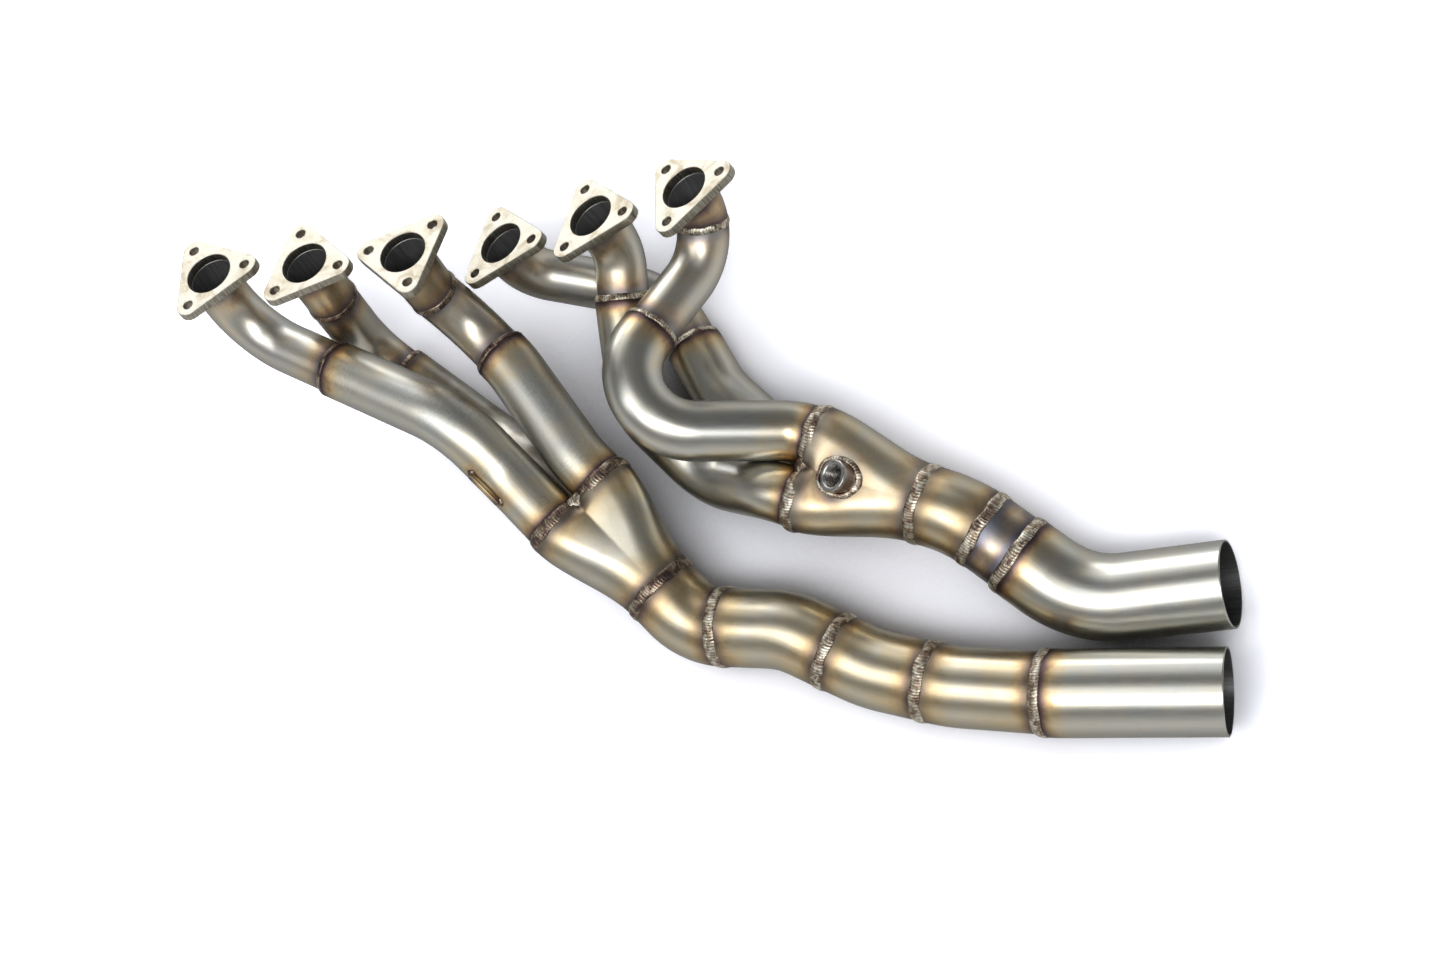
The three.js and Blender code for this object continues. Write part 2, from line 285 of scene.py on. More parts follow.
def sweep_quads(points, rows, sides, probe_row, centre):
    """Quads of a closed sweep, all turned round if those of the probed row face the centre."""
    quads = ring_quads(rows, sides, True)
    probe = points[sides * probe_row:sides * (probe_row + 2)]
    first = ring_quads(2, sides, False)
    return quads if outward(probe, first, centre) is first else quads[:, ::-1]


# ---------- materials ----------
class Nodes:
    """A short way to write the node tree of a material or of the world."""

    def __init__(self, owner):
        owner.use_nodes = True
        self.owner = owner
        self.tree = owner.node_tree

    @classmethod
    def material(cls, name):
        return cls(bpy.data.materials.new(name))

    def add(self, kind, values=None, **options):
        node = self.tree.nodes.new("ShaderNode" + kind)
        for key, value in options.items():
            setattr(node, key, value)
        for key, value in (values or {}).items():
            self.join(value, node.inputs[key])
        return node

    def join(self, value, socket):
        if isinstance(value, bpy.types.NodeSocket):
            self.tree.links.new(value, socket)
        else:
            socket.default_value = value

    def attribute(self, name):
        return self.add("Attribute", attribute_name=name)

    def math(self, operation, a, b=0.0, clamp=False):
        return self.add("Math", {0: a, 1: b}, operation=operation, use_clamp=clamp).outputs[0]

    def scaled(self, vector, scale):
        return self.add("VectorMath", {0: vector, 1: scale}, operation="MULTIPLY").outputs[0]

    def noise(self, vector, scale, detail=3.0, rough=0.55, distortion=0.0):
        node = self.add("TexNoise", {"Vector": vector, "Scale": scale, "Detail": detail,
                                     "Roughness": rough, "Distortion": distortion})
        return node.outputs["Fac"]

    def ramp(self, factor, stops):
        node = self.add("ValToRGB", {"Fac": factor})
        node.color_ramp.interpolation = "B_SPLINE"
        elements = node.color_ramp.elements
        while len(elements) < len(stops):
            elements.new(0.5)
        for element, (position, color) in zip(elements, stops):
            element.position = position
            element.color = rgba(*color)
        return node.outputs["Color"]

    def mix(self, factor, a, b, blend="MIX"):
        node = self.add("Mix", data_type="RGBA", blend_type=blend, clamp_factor=True)
        self.join(factor, node.inputs["Factor"])
        self.join(a, node.inputs["A"])
        self.join(b, node.inputs["B"])
        return node.outputs["Result"]

    def times(self, color, other):
        return self.mix(1.0, color, other, "MULTIPLY")

    def grey(self, value):
        return self.add("CombineColor", {0: value, 1: value, 2: value}).outputs[0]

    def remap(self, value, low, high, to_low, to_high):
        node = self.add("MapRange", {"Value": value, "From Min": low, "From Max": high,
                                     "To Min": to_low, "To Max": to_high})
        return node.outputs["Result"]

    def metal(self, color, roughness, height, strength, depth, metallic=1.0):
        """Join everything to the material's own shader and hand the material back."""
        inputs = self.tree.nodes["Principled BSDF"].inputs
        bump = self.add("Bump", {"Height": height, "Strength": strength, "Distance": depth})
        self.join(color, inputs["Base Color"])
        self.join(roughness, inputs["Roughness"])
        self.join(metallic, inputs["Metallic"])
        self.join(bump.outputs[0], inputs["Normal"])
        return self.owner


def rgba(r, g, b):
    return (r, g, b, 1)


# Oxide colours of stainless steel by distance from a weld toe, as shares of FAR millimetres.
HEAT = [
    (0.000, (0.060, 0.042, 0.042)),
    (0.016, (0.110, 0.072, 0.075)),
    (0.036, (0.215, 0.150, 0.135)),
    (0.065, (0.380, 0.260, 0.155)),
    (0.115, (0.600, 0.450, 0.265)),
    (0.185, (0.660, 0.560, 0.400)),
    (0.300, (0.640, 0.595, 0.500)),
    (0.480, (0.600, 0.590, 0.545)),
    (1.000, (0.580, 0.580, 0.560)),
]
STRAW = (0.60, 0.49, 0.30)


def tube_material(name, straw=0.0, scuffs=0.0, reach=1.0, satin=0.30, tint=STRAW):
    """Satin steel with oxide bands that fade away from each weld, and patches of a second tint. Its
    colour is also painted darker towards the silhouettes, a painted shade for the dark surroundings seen
    at grazing angles.

    straw is the share of the tint, scuffs the strength of the fine cross scratches, reach stretches
    the oxide bands, and satin is the roughness.
    """
    n = Nodes.material(name)
    coords = n.attribute("tube_co").outputs["Vector"]
    distance = n.attribute("weld_mm").outputs["Fac"]
    cloud = n.noise(coords, 0.045, 3.0)
    blotch = n.noise(coords, 0.16, 4.0, 0.6, 0.6)
    fine = n.noise(coords, 1.1, 3.0)
    wander = n.math("MULTIPLY", n.math("SUBTRACT", cloud, 0.5), 1.5)
    uneven = n.math("SUBTRACT", blotch, 0.5)
    stretch = n.math("ADD", n.math("ADD", wander, uneven), 1.0)
    warped = n.math("MULTIPLY", distance, n.math("MAXIMUM", stretch, 0.25))
    share = n.math("DIVIDE", warped, FAR * reach, clamp=True)
    heat = n.ramp(share, HEAT)
    tone = n.remap(cloud, 0.3, 0.7, 0.0, 1.0)
    warm = n.mix(tone, rgba(1.03, 0.985, 0.90), rgba(0.94, 0.97, 0.97))
    color = n.times(heat, warm)
    tinted = n.remap(n.noise(coords, 0.035, 2.0), 0.35, 0.65, 0.4 * straw, 1.6 * straw)
    color = n.mix(tinted, color, rgba(*tint))
    streaks = n.noise(n.scaled(coords, (0.02, 1.0, 1.0)), 1.7, 4.0, 0.7)
    veil = n.remap(streaks, 0.25, 0.75, 0.90, 1.07)
    color = n.times(color, n.grey(veil))
    cells = n.add("TexVoronoi", {"Vector": coords, "Scale": 0.16, "Randomness": 1.0})
    pit = n.remap(cells.outputs["Distance"], 0.03, 0.055, 1.0, 0.0)
    color = n.mix(n.math("MULTIPLY", pit, 0.7), color, rgba(0.10, 0.07, 0.05))
    near = n.remap(warped, 1.0, 12.0, 0.12, 0.0)
    rough = n.math("ADD", n.remap(blotch, 0.3, 0.7, satin - 0.015, satin + 0.02), near)
    rough = n.math("ADD", rough, n.remap(streaks, 0.3, 0.7, -0.015, 0.02))
    hair = n.noise(n.scaled(coords, (1.0, 0.06, 0.06)), 3.4, 2.0, 0.8)
    patch = n.remap(n.noise(coords, 0.03, 2.0), 0.42, 0.60, 0.0, scuffs)
    height = n.math("ADD", n.math("MULTIPLY", streaks, 0.35), n.math("MULTIPLY", fine, 0.10))
    height = n.math("ADD", height, n.math("MULTIPLY", hair, n.math("MULTIPLY", patch, 1.3)))
    scratch = n.remap(hair, 0.35, 0.65, 0.80, 1.20)
    color = n.times(color, n.mix(patch, rgba(1, 1, 1), n.grey(scratch)))
    # painted shade: the colour is darkened towards the silhouettes, where the metal reflects the dark
    # surroundings at grazing angles
    painted_rim_shade = n.add("LayerWeight", {"Blend": 0.5}).outputs["Facing"]
    color = n.times(color, n.grey(n.remap(painted_rim_shade, 0.34, 0.88, 1.0, 0.22)))
    return n.metal(color, rough, height, 0.07, 0.0005)


def inside_material(name, light):
    """Dark oxidised bore with the bright line of the tube's own seam. light scales its greys; a low light
    gives a darker copy, which is painted shade.
    """
    n = Nodes.material(name)
    coords = n.attribute("tube_co").outputs["Vector"]
    parts = n.add("SeparateXYZ", {0: coords})
    angle = n.math("ARCTAN2", parts.outputs[2], parts.outputs[1])
    streaks = n.noise(n.scaled(coords, (0.05, 1.0, 1.0)), 0.6, 4.0, 0.7)
    off = n.math("ABSOLUTE", n.math("SUBTRACT", angle, 0.9))
    seam = n.remap(off, 0.025, 0.05, 1.0, 0.0)
    low = rgba(0.24 * light, 0.245 * light, 0.25 * light)
    high = rgba(0.42 * light, 0.425 * light, 0.42 * light)
    dark = n.mix(n.remap(streaks, 0.3, 0.7, 0.0, 1.0), low, high)
    color = n.mix(n.math("MULTIPLY", seam, 0.8), dark, rgba(0.80, 0.80, 0.78))
    rough = n.remap(streaks, 0.3, 0.7, 0.36, 0.44)
    return n.metal(color, rough, n.math("ADD", streaks, seam), 0.06, 0.0006, metallic=0.88)


def bead_material(name, light, shift):
    """Rippled filler: silvery crowns, brown and violet oxide in the hollows and along the toes."""
    n = Nodes.material(name)
    coords = n.attribute("bead_co").outputs["Vector"]
    ripple = n.attribute("ripple").outputs["Fac"]
    toe = n.attribute("toe").outputs["Fac"]
    patches = n.math("ADD", n.noise(coords, 0.15, 4.0, 0.65, 0.8), shift)
    fine = n.noise(coords, 1.6, 4.0, 0.65)
    crowns = n.ramp(patches, [
        (0.34, (0.070, 0.050, 0.050)),
        (0.42, (0.150, 0.108, 0.092)),
        (0.49, (0.330, 0.235, 0.160)),
        (0.55, (0.410, 0.365, 0.285)),
        (0.61, (0.610 * light, 0.570 * light, 0.470 * light)),
        (0.70, (0.730 * light, 0.700 * light, 0.610 * light)),
    ])
    hollow = n.mix(fine, rgba(0.055, 0.042, 0.040), rgba(0.150, 0.110, 0.090))
    color = n.mix(n.remap(ripple, 0.10, 0.85, 0.85, 0.0), crowns, hollow)
    edge = n.math("ADD", toe, n.math("MULTIPLY", n.math("SUBTRACT", fine, 0.5), 0.25))
    color = n.mix(n.remap(edge, 0.84, 1.0, 0.0, 0.85), color, rgba(0.050, 0.035, 0.036))
    return n.metal(color, n.remap(fine, 0.3, 0.7, 0.26, 0.48), fine, 0.35, 0.0006)


def plate_material():
    """Pale stainless plate, faced on a mill: fine lay lines, faint stains, greyer sawn edges."""
    n = Nodes.material("flange_plate")
    coords = n.attribute("tube_co").outputs["Vector"]
    lay = n.noise(n.scaled(coords, (0.05, 1.0, 0.05)), 2.6, 4.0, 0.7)
    cuts = n.noise(n.scaled(coords, (1.0, 1.0, 0.04)), 1.3, 3.0, 0.7)
    stain = n.noise(coords, 0.055, 4.0, 0.6, 0.8)
    speck = n.noise(coords, 0.9, 3.0, 0.7)
    side = n.attribute("side").outputs["Fac"]
    face = n.ramp(stain, [
        (0.34, (0.42, 0.365, 0.27)),
        (0.43, (0.57, 0.53, 0.43)),
        (0.55, (0.665, 0.64, 0.56)),
        (0.68, (0.615, 0.60, 0.54)),
    ])
    sawn = n.remap(cuts, 0.35, 0.65, 0.0, 1.0)
    edge = n.mix(sawn, rgba(0.20, 0.18, 0.14), rgba(0.52, 0.50, 0.43))
    color = n.mix(side, face, edge)
    color = n.times(color, n.grey(n.remap(speck, 0.3, 0.7, 0.80, 1.12)))
    heat = n.remap(n.attribute("weld_mm").outputs["Fac"], 0.0, 7.0, 0.85, 0.0)
    color = n.mix(heat, color, rgba(0.30, 0.19, 0.13))
    height = n.math("ADD", n.math("MULTIPLY", lay, 0.6), n.math("MULTIPLY", cuts, side))
    return n.metal(color, n.remap(lay, 0.3, 0.7, 0.34, 0.50), height, 0.25, 0.0005)


def turned_material():
    """Turned boss: fine circular tool lines, tinted by the weld at its foot."""
    n = Nodes.material("bung_turned")
    coords = n.attribute("tube_co").outputs["Vector"]
    lines = n.noise(n.scaled(coords, (1.0, 0.03, 0.03)), 3.0, 3.0, 0.7)
    stain = n.noise(coords, 0.14, 3.0)
    heat = n.remap(n.attribute("weld_mm").outputs["Fac"], 0.5, 6.0, 0.8, 0.0)
    stained = n.remap(stain, 0.35, 0.65, 0.0, 1.0)
    steel = n.mix(stained, rgba(0.58, 0.575, 0.55), rgba(0.40, 0.40, 0.40))
    color = n.mix(heat, steel, rgba(0.30, 0.20, 0.15))
    return n.metal(color, n.remap(lines, 0.3, 0.7, 0.18, 0.34), lines, 0.3, 0.0005)


TUBE = tube_material("tube_satin")
TUBE_SCUFFED = tube_material("tube_scuffed", scuffs=1.0, satin=0.38)
# painted shade: runner 2's lower tube lies deep between runners 1 and 3, and its colour is darkened with
# dark patches in place of the shade there
TUBE_PAINTED_SHADE = tube_material("tube_painted_shade", straw=0.50, tint=(0.20, 0.17, 0.14))
TUBE_GOLD = tube_material("tube_gold", straw=0.30, reach=1.3)
TUBE_MATT = tube_material("tube_matt", straw=0.35, reach=1.4, satin=0.34, tint=(0.54, 0.54, 0.53))
TUBE_BROWNED = tube_material("tube_browned", straw=0.25, reach=1.7, satin=0.33,
                             tint=(0.36, 0.30, 0.27))
TUBE_BLUED = tube_material("tube_blued", straw=0.50, reach=1.5, tint=(0.27, 0.29, 0.35))
FORMED = tube_material("collector_satin", straw=0.35, reach=1.2, satin=0.37, tint=(0.40, 0.36, 0.26))
FORMED_GOLD = tube_material("collector_gold", straw=0.30, reach=1.5, satin=0.34,
                            tint=(0.70, 0.64, 0.49))
INSIDE = inside_material("tube_inside", 1.0)
# painted shade: the outlets' bores get a copy of the bore colour at 0.42 of its brightness, for the shade
# deep inside the outlet pipes
INSIDE_PAINTED_SHADE = inside_material("outlet_inside_painted_shade", 0.42)
BEAD_DARK = bead_material("bead_dark", 0.72, -0.055)
BEAD_LIGHT = bead_material("bead_light", 1.15, 0.045)
PLATE = plate_material()
TURNED = turned_material()


# ---------- pieces ----------
def distances(points, rings):
    """Distance in millimetres from each point to the nearest weld: (centre, axis, radius, half width)."""
    nearest = np.full(len(points), FAR)
    for centre, axis, radius, half in rings:
        off = points - centre
        along = off @ axis
        across = np.linalg.norm(off - along[:, None] * axis, axis=1)
        nearest = np.minimum(nearest, np.hypot(along, across - radius) - half)
    return np.maximum(nearest, 0)


def tube_piece(name, header, path, s0, s1, radius, welds, material, eased=False, inside=None):
    """One length of tube with rounded rims. "eased" draws a sleeve's start in to the tube inside."""
    count = max(4, int(round((s1 - s0) / RING_STEP)))
    stations = np.concatenate([[s0 + LIP * 0.3, s0 + LIP], np.linspace(s0 + 1.2, s1 - 1.2, count),
                               [s1 - LIP, s1 - LIP * 0.3]])
    drop = np.zeros(len(stations))
    drop[[0, -1]] = LIP * 0.7
    if eased:
        drop += SLEEVE_DROP * (1 - smooth((stations - s0) / SLEEVE_RUN))
    outer = [(s, radius - d) for s, d in zip(stations, drop)]
    mid = radius - TUBE_WALL / 2
    inner = [(s, radius - TUBE_WALL) for s in stations[::-1]]
    rows = [(s0, mid)] + outer + [(s1, mid)] + inner
    s_all = np.array([r[0] for r in rows])
    r_all = np.array([r[1] for r in rows])
    order = np.argsort(s_all, kind="stable")
    p, t, e1, e2 = (np.empty((len(rows), 3)) for _ in range(4))
    p[order], t[order], e1[order], e2[order] = path.frames(s_all[order])
    theta = np.linspace(0, 2 * math.pi, SIDES, endpoint=False)
    c, s = np.cos(theta)[None, :, None], np.sin(theta)[None, :, None]
    radial = e1[:, None, :] * c + e2[:, None, :] * s
    points = (p[:, None, :] + radial * r_all[:, None, None]).reshape(-1, 3)
    slots = np.zeros((len(rows), SIDES), int)
    slots[len(outer) + 2:, :] = 1
    coords = np.stack(np.broadcast_arrays(s_all[:, None], r_all[:, None] * np.cos(theta),
                                          r_all[:, None] * np.sin(theta)), -1).reshape(-1, 3)
    coords = coords + rng.uniform(0, 400, 3) * (1, 0, 0)
    quads = sweep_quads(points, len(rows), SIDES, 4, p[4])
    attributes = {"tube_co": coords, "weld_mm": distances(points, welds)}
    skins = [material, inside or INSIDE]
    return make_mesh(name, header, points, quads, attributes, skins, slots.ravel())


def bead_strip(name, header, base0, base1, up, bulge, material, ripples):
    """A closed ring of weld bead between two lines of toe points, rippled along its length."""
    count = len(base0)
    theta = np.linspace(0, 2 * math.pi, count, endpoint=False)
    across = 11
    x = np.linspace(-1, 1, across)
    high = bulge * (1 + 0.22 * wave(theta, 6, 2))
    slide = 0.10 * wave(theta, 5, 3)
    grow0 = 0.10 * wave(theta, 7, 4)
    grow1 = 0.10 * wave(theta, 7, 4)
    phase = ripples * theta[:, None] / (2 * math.pi) + 0.55 * x[None, :] ** 2
    phase = phase + 0.35 * wave(theta, 6, 5)[:, None]
    crest = np.abs(np.sin(math.pi * phase)) ** 0.7
    grow = 1 + np.where(x < 0, grow0[:, None], grow1[:, None])
    share = (x[None, :] * grow + slide[:, None] + 1) / 2
    dome = (1 - x[None, :] ** 2) ** 0.62
    lift = high[:, None] * dome * (0.74 + 0.34 * crest) - 0.35 * (np.abs(x)[None, :] ** 6)
    run = base1 - base0
    top = base0[:, None] + run[:, None] * share[..., None] + up[:, None] * lift[..., None]
    bottom = [base0 + run * part - up * 0.9 for part in (0.75, 0.25)]
    points = np.concatenate([top, np.stack(bottom, 1)], axis=1)
    cols = points.shape[1]
    quads = ring_quads(count, cols, True)
    ring = np.linalg.norm(np.diff(base0, axis=0), axis=1).sum() / (2 * math.pi)
    width = np.linalg.norm(run, axis=1).mean()
    coords = np.zeros((count, cols, 3))
    coords[:, :, 0] = (ring * np.cos(theta))[:, None]
    coords[:, :, 1] = (ring * np.sin(theta))[:, None]
    coords[:, :across, 2] = x * width / 2
    coords += rng.uniform(0, 300, 3)
    ripple = np.zeros((count, cols))
    ripple[:, :across] = crest
    toe = np.ones((count, cols))
    toe[:, :across] = np.abs(x)
    flat = points.reshape(-1, 3)
    centre = (base0 + base1) / 2 - up * 0.4
    quads = outward(flat, quads, np.repeat(centre, cols, 0)[quads[:, 0]])
    attributes = {"bead_co": coords.reshape(-1, 3), "ripple": ripple.ravel(), "toe": toe.ravel()}
    return make_mesh(name, header, flat, quads, attributes, [material])


def ring_bead(name, header, ring, size, radius0, radius1, material):
    """A bead along a weld ring, from one radius at its start to the other at its end."""
    centre, axis = ring[:2]
    start, end, bulge = size[:3]
    radius = (radius0 + radius1) / 2
    ripples = int(round(2 * math.pi * radius / RIPPLE_PITCH))
    count = ripples * POINTS_PER_RIPPLE
    theta = np.linspace(0, 2 * math.pi, count, endpoint=False)
    e1 = unit(np.cross(axis, (0.3, 0.2, 1.0)))
    e2 = np.cross(axis, e1)
    out = np.cos(theta)[:, None] * e1 + np.sin(theta)[:, None] * e2
    base0 = centre + axis * start + out * radius0
    base1 = centre + axis * end + out * radius1
    slope = unit(arr((end - start, radius1 - radius0)))
    up = axis * -slope[1] + out * slope[0]
    return bead_strip(name, header, base0, base1, up, bulge, material, ripples)


def collector_radius(angle, t, wall):
    """Three lobes with part of the valleys between them filled in, which swell into one round pipe."""
    blend = float(smooth(t))
    offset = LOBE_OFFSET * (1 - blend)
    radius = LOBE_RADIUS + (PIPE_RADIUS - LOBE_RADIUS) * blend - wall
    third = 2 * math.pi / 3
    off = np.abs(angle - third * np.round(angle / third))
    side = offset * np.sin(off)
    lobed = offset * np.cos(off) + np.sqrt(np.maximum(radius * radius - side * side, 0))
    touch = math.atan2(radius * math.sin(third / 2), offset + radius / 2)
    bridged = (offset / 2 + radius) / np.cos(third / 2 - off)
    fill = VALLEY_FILL[0] + (VALLEY_FILL[1] - VALLEY_FILL[0]) * float(smooth(t / VALLEY_RUN))
    return np.where(off < touch, lobed, lobed + (bridged - lobed) * fill)


def collector_frame(h):
    inlet = arr(h["inlet"])
    axis = arr(h["outlet"]) - inlet
    length = float(np.linalg.norm(axis))
    axis = axis / length
    reference = arr(LOBE_REFERENCE)
    x = unit(reference - axis * (reference @ axis))
    basis = np.stack([x, np.cross(axis, x), axis], 1)
    return inlet, basis, length


def collector_piece(name, header, inlet, basis, length, welds, material):
    sides, steps = 168, 64
    t = np.concatenate([[0.0, 0.006, 0.015], np.linspace(0.03, 1, steps)])
    rows = [(v, 0.0, 0.5 * max(0, 1 - v / 0.015)) for v in t]
    rows += [(v, COLLECTOR_WALL, 0.0) for v in t[::-1]]
    angle = np.linspace(0, 2 * math.pi, sides, endpoint=False)
    points, coords = [], []
    for v, wall, drop in rows:
        r = collector_radius(angle, v, wall) - drop
        local = np.stack([r * np.cos(angle), r * np.sin(angle), np.full(sides, v * length)], 1)
        points.append(inlet + local @ basis.T)
        coords.append(np.stack([local[:, 2], local[:, 0], local[:, 1]], 1))
    points, coords = np.concatenate(points), np.concatenate(coords)
    slots = np.zeros((len(rows), sides), int)
    slots[len(t):, :] = 1
    quads = sweep_quads(points, len(rows), sides, 20, inlet + basis[:, 2] * 0.4 * length)
    attributes = {"tube_co": coords, "weld_mm": distances(points, welds)}
    skins = [material, INSIDE]
    return make_mesh(name, header, points, quads, attributes, skins, slots.ravel())


def finished_mesh(obj):
    """The mesh of a curve or of an object with modifiers."""
    return bpy.data.meshes.new_from_object(obj.evaluated_get(bpy.context.evaluated_depsgraph_get()))


def flange_outline(stud_angle):
    points = []
    for corner in range(3):
        a = math.radians(stud_angle + 120 * corner)
        for i in range(25):
            t = a + math.radians(-60 + 120 * i / 24)
            points.append((STUD_CIRCLE_RADIUS * math.cos(a) + FLANGE_CORNER_RADIUS * math.cos(t),
                           STUD_CIRCLE_RADIUS * math.sin(a) + FLANGE_CORNER_RADIUS * math.sin(t)))
    return points


def circle(radius, count, cx=0.0, cy=0.0):
    angles = [2 * math.pi * i / count for i in range(count)]
    return [(cx + radius * math.cos(a), cy + radius * math.sin(a)) for a in angles]


def flange_piece(name, header, stud_angle, port_x):
    """Plate cut to a rounded triangle, every edge broken by a small bevel.

    Its "side" attribute is 0 on the two faces and 1 on the sawn edge and in the holes.
    """
    bevel = 0.6
    curve = bpy.data.curves.new(name, "CURVE")
    curve.dimensions = "2D"
    curve.fill_mode = "BOTH"
    curve.extrude = FLANGE_THICKNESS / 2 - bevel
    curve.bevel_depth = bevel
    curve.bevel_resolution = 2
    curve.offset = -bevel
    loops = [flange_outline(stud_angle), circle(PORT_RADIUS, 96)]
    for corner in range(3):
        a = math.radians(stud_angle + 120 * corner)
        stud_x, stud_y = STUD_CIRCLE_RADIUS * math.cos(a), STUD_CIRCLE_RADIUS * math.sin(a)
        loops.append(circle(STUD_HOLE_RADIUS, 40, stud_x, stud_y))
    for loop in loops:
        spline = curve.splines.new("POLY")
        spline.points.add(len(loop) - 1)
        for point, (x, y) in zip(spline.points, loop):
            point.co = (x, y, 0, 1)
        spline.use_cyclic_u = True
    carrier = bpy.data.objects.new(name + "_outline", curve)
    bpy.context.scene.collection.objects.link(carrier)
    bpy.context.view_layer.update()
    made = finished_mesh(carrier)
    bpy.data.objects.remove(carrier)
    local = np.zeros(len(made.vertices) * 3)
    made.vertices.foreach_get("co", local)
    local = local.reshape(-1, 3) + (0, 0, -FLANGE_THICKNESS / 2)
    shift = local + (port_x, 0, 0)
    made.vertices.foreach_set("co", place(header, shift).astype(np.float32).ravel())
    weld = [(arr((0, 0, -FLANGE_THICKNESS)), arr((0, 0, 1.0)), UPPER_RADIUS + 5, 1.0)]
    layers = {"tube_co": local + rng.uniform(0, 300, 3) * (1, 1, 0), "weld_mm": distances(local, weld)}
    add_attributes(made, layers)
    side = made.attributes.new("side", "FLOAT", "FACE")
    axis = unit(place(header, arr((0, 0, 1))) - place(header, arr((0, 0, 0))))
    made.update()
    flat = [1.0 - smooth((abs(float(arr(p.normal) @ axis)) - 0.2) / 0.5) for p in made.polygons]
    side.data.foreach_set("value", np.array(flat, np.float32))
    for p in made.polygons:
        p.use_smooth = abs(float(arr(p.normal) @ axis)) < 0.98
    made.materials.clear()
    made.materials.append(PLATE)
    obj = bpy.data.objects.new(name, made)
    bpy.context.scene.collection.objects.link(obj)
    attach(obj, header + "_header")
    return obj


def lathe_piece(name, header, origin, basis, profile, welds, sides=96):
    """A closed profile of (height, radius) turned about the basis' third axis."""
    angle = np.linspace(0, 2 * math.pi, sides, endpoint=False)
    points, coords = [], []
    for h, r in profile:
        local = np.stack([r * np.cos(angle), r * np.sin(angle), np.full(sides, h)], 1)
        points.append(origin + local @ basis.T)
        coords.append(np.stack([local[:, 2] + r * 0.7, local[:, 0], local[:, 1]], 1))
    points, coords = np.concatenate(points), np.concatenate(coords)
    widest = int(np.argmax([r for _, r in profile[:-1]]))
    inside = origin + basis[:, 2] * profile[widest][0]
    quads = sweep_quads(points, len(profile), sides, widest, inside)
    attributes = {"tube_co": coords, "weld_mm": distances(points, welds)}
    return make_mesh(name, header, points, quads, attributes, [TURNED])


def mound(name, header, centre, normal, along, size, material):
    """A small lump of weld metal, wider than it is high, with an uneven skin."""
    rings, sides = 12, 40
    across = np.cross(normal, along)
    angle = np.linspace(0, 2 * math.pi, sides, endpoint=False)
    uneven = 1 + 0.12 * wave(angle, 5, 2)
    points, coords, toe = [], [], []
    for i in range(rings + 1):
        f = max(1 - i / rings, 0.02)
        height = size[2] * (1 - f ** 2) ** 0.6 * (1 + 0.10 * wave(angle + f, 4, 2)) - 0.5 * f ** 4
        p = (centre + np.outer(size[0] * f * np.cos(angle) * uneven, along)
             + np.outer(size[1] * f * np.sin(angle) * uneven, across) + np.outer(height, normal))
        points.append(p)
        coords.append(p - centre)
        toe.append(np.full(sides, f))
    points, coords = np.concatenate(points), np.concatenate(coords)
    quads = outward(points, ring_quads(rings + 1, sides, False), centre - normal * 2)
    ripple = 0.5 + 0.5 * np.sin(coords[:, 0] * 3.0 + coords[:, 1] * 1.3)
    attributes = {"bead_co": coords + rng.uniform(0, 300, 3), "ripple": ripple,
                  "toe": np.concatenate(toe)}
    return make_mesh(name, header, points, quads, attributes, [material])


def tab_piece(header, path):
    """The bar on runner 1: rounded edges, a gap under its middle, weld dots at both ends."""
    point, tangent = path.at(TAB_STATION)
    radial = arr(TAB_RADIAL)
    radial = unit(radial - tangent * (radial @ tangent))
    across = np.cross(radial, tangent)
    long, wide, thick = (v / 2 for v in TAB_SIZE)
    edge = 0.7
    half = [(0, -thick), (-wide + edge, -thick), (-wide + 0.2, -thick + 0.2), (-wide, -thick + edge),
            (-wide, thick - edge), (-wide + 0.2, thick - 0.2), (-wide + edge, thick)]
    profile = arr(half + [(-y, z) for y, z in reversed(half[1:])])
    stations = [(-1, 0.02), (-1, 0.80), (-0.985, 0.93), (-0.96, 1)]
    stations += [(v, 1) for v in np.linspace(-0.85, 0.85, 18)]
    stations += [(0.96, 1), (0.985, 0.93), (1, 0.80), (1, 0.02)]
    base = point + radial * (LOWER_RADIUS + TAB_GAP + thick)
    points, coords = [], []
    for u, f in stations:
        local = profile * f
        y, z = local[:, 0], local[:, 1]
        points.append(base + tangent * (u * long) + np.outer(y, across) + np.outer(z, radial))
        coords.append(np.stack([np.full(len(local), u * long), y, z], 1))
    points, coords = np.concatenate(points), np.concatenate(coords)
    quads = outward(points, ring_quads(len(stations), len(profile), False), base)
    ends = [base + tangent * (k * long) for k in (-1, 1)]
    near = np.minimum(*[np.linalg.norm(points - e, axis=1) for e in ends]) - 3
    bar = make_mesh("tab_bar", header, points, quads, {"tube_co": coords, "weld_mm": near}, [TUBE_GOLD])
    stand_for(header + "_runner_1_tab")
    for k, label in ((-1, "upper"), (1, "lower")):
        where = point + tangent * (k * (long + 0.5)) + radial * (LOWER_RADIUS - 0.4)
        mound("tab_weld_" + label, header, where, radial, tangent, TAB_BEAD_SIZE, BEAD_DARK)
    return [(e - radial * thick, radial, 0.0, -2.5) for e in ends]


